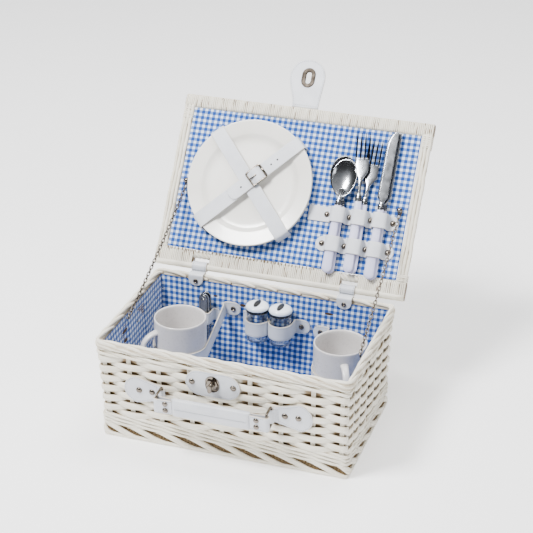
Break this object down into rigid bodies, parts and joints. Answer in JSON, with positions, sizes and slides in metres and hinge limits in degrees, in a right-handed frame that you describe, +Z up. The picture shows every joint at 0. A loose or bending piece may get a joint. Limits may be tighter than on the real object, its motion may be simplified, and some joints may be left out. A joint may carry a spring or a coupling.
{
  "type": "picnic basket",
  "caption": "Rectangular white wicker hamper with a hinged lid, check cotton lining, strapped crockery and cutlery, lid chains, turn lock and a folding front handle.",
  "frame": {"origin": "centre of the floor panel's underside, on the surface that the basket stands on", "axes": "+X to the right seen from the handle side, +Y to the hinge side, +Z up"},
  "size_m": [0.4, 0.4872, 0.4524],
  "materials": {
    "wicker": "matt white paint over peeled willow, with brown showing in the gaps",
    "gingham": "royal blue and white woven check cotton",
    "leather": "smooth pale grey-white leather with a stitched edge",
    "nickel": "polished nickel plate",
    "stainless": "polished stainless steel",
    "porcelain": "glazed ivory porcelain",
    "stoneware": "satin white glaze",
    "jar_glass": "clear glass",
    "cap_plastic": "glossy white plastic",
    "handle_plastic": "glossy pale lavender-white plastic"
  },
  "bodies": {
    "base": {"floor_panel": "wicker", "foot_border": "wicker", "top_border": "wicker", "wall_front": "wicker", "wall_back": "wicker", "wall_left": "wicker", "wall_right": "wicker", "base_lining": "gingham", "lock_patch": "leather", "lock_plate": "nickel", "handle_tab_left": "leather", "handle_tab_right": "leather", "front_rivets": "nickel", "hinge_straps": "leather", "hinge_strap_rivets": "nickel", "chain_anchors": "nickel", "mug_left": "stoneware", "mug_right": "stoneware", "mug_strap_left": "leather", "mug_strap_right": "leather", "shaker_strap": "leather", "corkscrew_strap": "leather", "lining_rivets": "nickel"},
    "lid": {"lid_border_rear": "wicker", "lid_border_front": "wicker", "lid_side_rods": "wicker", "lid_panel": "wicker", "lid_lining": "gingham", "plate_back": "porcelain", "plate_front": "porcelain", "plate_strap_plain": "leather", "plate_strap_buckled": "leather", "buckle_frame": "nickel", "cutlery_strap_upper": "leather", "cutlery_strap_lower": "leather", "cutlery_rivets": "nickel", "chain_studs": "nickel", "lid_chains": "nickel"},
    "ring_left": {"ring_left": "nickel"},
    "ring_right": {"ring_right": "nickel"},
    "grip": {"handle_grip": "leather", "handle_end_loops": "leather", "handle_end_rivets": "nickel"},
    "knob": {"lock_knob": "nickel"},
    "tongue": {"tongue_strap": "leather", "tongue_eyelet": "nickel"},
    "prong": {"buckle_prong": "nickel"},
    "spoons": {"spoon_metal": "stainless", "spoon_handles": "handle_plastic"},
    "forks": {"fork_metal": "stainless", "fork_handles": "handle_plastic"},
    "knives": {"knife_metal": "stainless", "knife_handles": "handle_plastic"},
    "shaker_left": {"shaker_jar_left": "jar_glass"},
    "shaker_left_cap": {"shaker_cap_left": "cap_plastic"},
    "shaker_right": {"shaker_jar_right": "jar_glass"},
    "shaker_right_cap": {"shaker_cap_right": "cap_plastic"},
    "corkscrew": {"corkscrew_body": "stainless", "corkscrew_lever": "stainless"}
  },
  "joints": [
    {"name": "lid_hinge", "type": "hinge", "parent": "base", "child": "lid", "pos_m": [0, 0.13307, 0.1711], "axis": [1, 0, 0], "range_deg": [0, 125], "deforming": ["lid_chains"]},
    {"name": "handle_ring_left", "type": "hinge", "parent": "base", "child": "ring_left", "pos_m": [-0.087, -0.12422, 0.09215], "axis": [0, -0.0856, 0.9963], "range_deg": [-55, 55]},
    {"name": "handle_grip_swing", "type": "hinge", "parent": "ring_left", "child": "grip", "pos_m": [-0.087, -0.14514, 0.09035], "axis": [0, -0.0856, 0.9963], "range_deg": [-55, 55]},
    {"name": "handle_ring_right", "type": "hinge", "parent": "base", "child": "ring_right", "pos_m": [0.077, -0.12422, 0.09215], "axis": [0, -0.0856, 0.9963], "range_deg": [-55, 55]},
    {"name": "lock_turn", "type": "hinge", "parent": "base", "child": "knob", "pos_m": [-0.0107, -0.12705, 0.12502], "axis": [0, -0.9963, -0.0856], "range_deg": [0, 90]},
    {"name": "tongue_fold", "type": "hinge", "parent": "lid", "child": "tongue", "pos_m": [-0.0107, 0.29183, 0.39085], "axis": [1, 0, 0], "range_deg": [0, 98]},
    {"name": "buckle_prong_lift", "type": "hinge", "parent": "lid", "child": "prong", "pos_m": [-0.05548, 0.19847, 0.30791], "axis": [-0.7193, 0.3984, 0.569], "range_deg": [0, 80]},
    {"name": "spoons_slide", "type": "slide", "parent": "lid", "child": "spoons", "axis": [0, -0.5736, -0.8192], "range_m": [-0.05, 0]},
    {"name": "forks_slide", "type": "slide", "parent": "lid", "child": "forks", "axis": [0, -0.5736, -0.8192], "range_m": [-0.05, 0]},
    {"name": "knives_slide", "type": "slide", "parent": "lid", "child": "knives", "axis": [0, -0.5736, -0.8192], "range_m": [-0.05, 0]},
    {"name": "shaker_left_lift", "type": "slide", "parent": "base", "child": "shaker_left", "axis": [0, 0, -1], "range_m": [-0.05, 0]},
    {"name": "shaker_left_cap_turn", "type": "hinge", "parent": "shaker_left", "child": "shaker_left_cap", "pos_m": [-0.016, 0.0895, 0.14], "axis": [0, 0, 1], "range_deg": [0, 180]},
    {"name": "shaker_right_lift", "type": "slide", "parent": "base", "child": "shaker_right", "axis": [0, 0, -1], "range_m": [-0.05, 0]},
    {"name": "shaker_right_cap_turn", "type": "hinge", "parent": "shaker_right", "child": "shaker_right_cap", "pos_m": [0.021, 0.0895, 0.14], "axis": [0, 0, 1], "range_deg": [0, 180]},
    {"name": "corkscrew_lift", "type": "slide", "parent": "base", "child": "corkscrew", "axis": [0, 0, -1], "range_m": [-0.05, 0]}
  ],
  "couplings": [
    {"joint": "handle_grip_swing", "follows": "handle_ring_left", "ratio": -1},
    {"joint": "handle_ring_right", "follows": "handle_ring_left", "ratio": 1}
  ]
}
